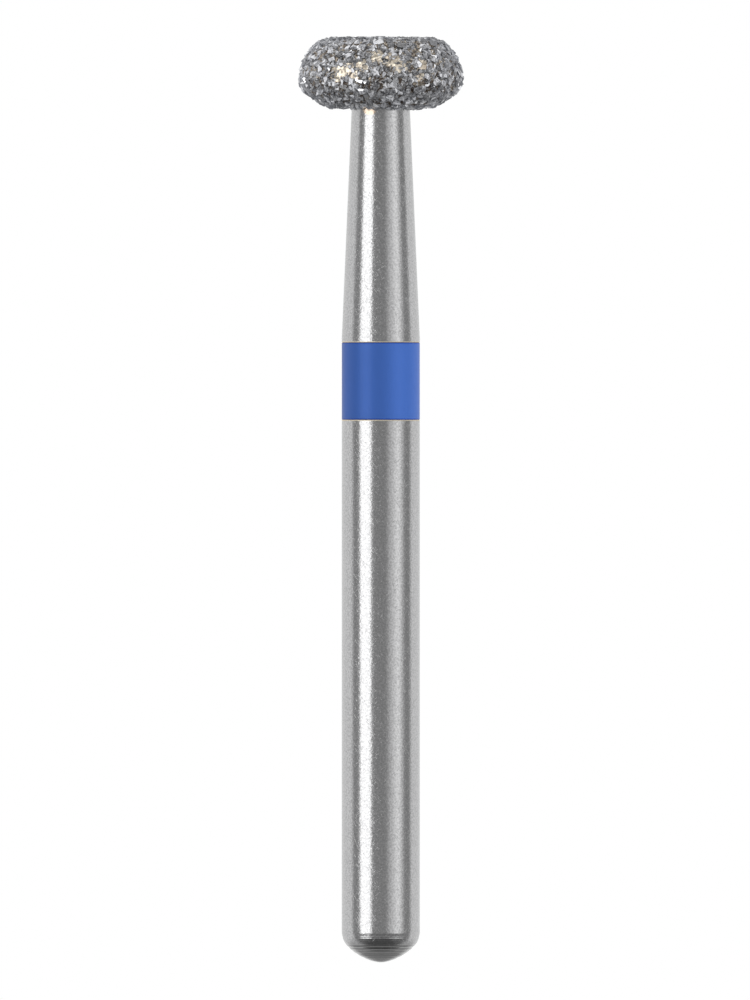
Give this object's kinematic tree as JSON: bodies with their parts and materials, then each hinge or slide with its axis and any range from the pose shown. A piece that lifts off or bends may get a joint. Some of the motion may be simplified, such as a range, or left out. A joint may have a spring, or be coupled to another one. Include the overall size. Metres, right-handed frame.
{
  "type": "dental bur",
  "caption": "Dental bur with a diamond coated wheel head on a tapered neck, a colour ring and a smooth domed shank for a friction chuck.",
  "frame": {"origin": "on the axis, at the flat end of the head, which the bur stands on", "axes": "+Z along the axis, from the head towards the domed end of the shank"},
  "size_m": [0.0034, 0.0034, 0.019],
  "materials": {
    "ground_steel": "fine ground stainless steel, satin, with turning marks on the domed end",
    "blue_enamel": "satin blue enamel band",
    "diamond_in_nickel": "angular grey diamond grit in an electroplated nickel bond"
  },
  "bodies": {
    "root": {"steel_blank": "ground_steel", "colour_ring": "blue_enamel", "diamond_coating": "diamond_in_nickel"}
  },
  "joints": []
}
